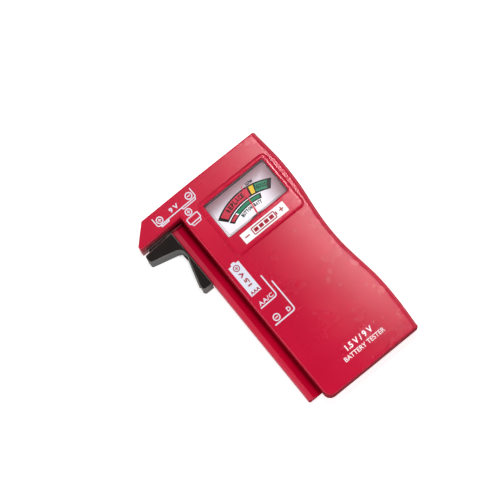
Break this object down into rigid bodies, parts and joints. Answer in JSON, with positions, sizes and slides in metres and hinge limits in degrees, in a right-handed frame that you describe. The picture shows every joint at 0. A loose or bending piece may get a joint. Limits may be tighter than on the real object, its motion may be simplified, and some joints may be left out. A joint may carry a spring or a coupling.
{
  "type": "battery tester",
  "caption": "Hand-held analogue battery tester: red casing with a cell rail, black sliding contact arm, moving-coil meter window and 9 V snap contacts.",
  "frame": {"origin": "centre of the bounding box at the flat back of the casing", "axes": "+Z out of the front face with the meter window, +Y towards the head with the 9 V contacts, +X towards the wavy grip side; the cell rail is on -X"},
  "size_m": [0.073, 0.1098, 0.0291],
  "materials": {
    "casing_red": "satin",
    "arm_black": "satin",
    "case_black": "matte",
    "label_white": "satin",
    "dial_white": "matte",
    "clear_window": "polished",
    "nickel": "satin",
    "brass": "satin",
    "soft_iron": "satin",
    "magnet": "matte",
    "coil_wire": "satin",
    "steel": "satin",
    "pointer_red": "satin",
    "board": "satin",
    "resistor": "matte",
    "wire_red": "satin",
    "wire_black": "satin",
    "wire_blue": "satin"
  },
  "bodies": {
    "casing": {"board_screw_1": "steel", "board_screw_2": "steel", "case_screw_1": "steel", "case_screw_2": "steel", "case_screw_3": "steel", "case_screw_4": "steel", "cell_positive_contact": "nickel", "circuit_board": "board", "core_magnet": "magnet", "core_spacer_lower": "brass", "core_spacer_upper": "brass", "front_shell": "casing_red", "hairspring_lower": "brass", "hairspring_upper": "brass", "jewel_bearing_lower": "brass", "jewel_bearing_upper": "brass", "load_resistor_cell": "resistor", "load_resistor_nine_volt": "resistor", "meter_case": "case_black", "meter_screw_1": "steel", "meter_screw_2": "steel", "meter_screw_3": "steel", "meter_screw_4": "steel", "meter_terminal_negative": "brass", "meter_terminal_positive": "brass", "meter_window": "clear_window", "movement_bridge": "brass", "name_plate": "label_white", "negative_bus_strip": "brass", "nine_volt_contact_negative": "nickel", "nine_volt_contact_positive": "nickel", "rear_label": "label_white", "rear_shell": "casing_red", "scale_plate": "dial_white", "series_resistor": "resistor", "trimmer": "wire_blue", "wire_cell_positive": "wire_blue", "wire_meter_negative": "wire_black", "wire_meter_positive": "wire_red", "wire_negative_bus": "wire_black", "wire_nine_volt_negative": "wire_black", "wire_nine_volt_positive": "wire_red", "yoke_ring": "soft_iron", "yoke_seat": "case_black"},
    "sliding_arm": {"slide_arm": "arm_black", "slide_contact_leaf": "nickel", "slide_contact_rivet": "nickel", "slide_wiper": "brass"},
    "needle": {"pointer": "pointer_red", "moving_coil": "coil_wire", "coil_staff_upper": "steel", "coil_staff_lower": "steel"}
  },
  "joints": [
    {"name": "arm_slide", "type": "slide", "parent": "casing", "child": "sliding_arm", "axis": [0, -1, 0], "range_m": [0, 0.063]},
    {"name": "needle_swing", "type": "hinge", "parent": "casing", "child": "needle", "pos_m": [0.01174, 0.01755, 0.0228], "axis": [0, 0, 1], "range_deg": [-35, 50]}
  ]
}
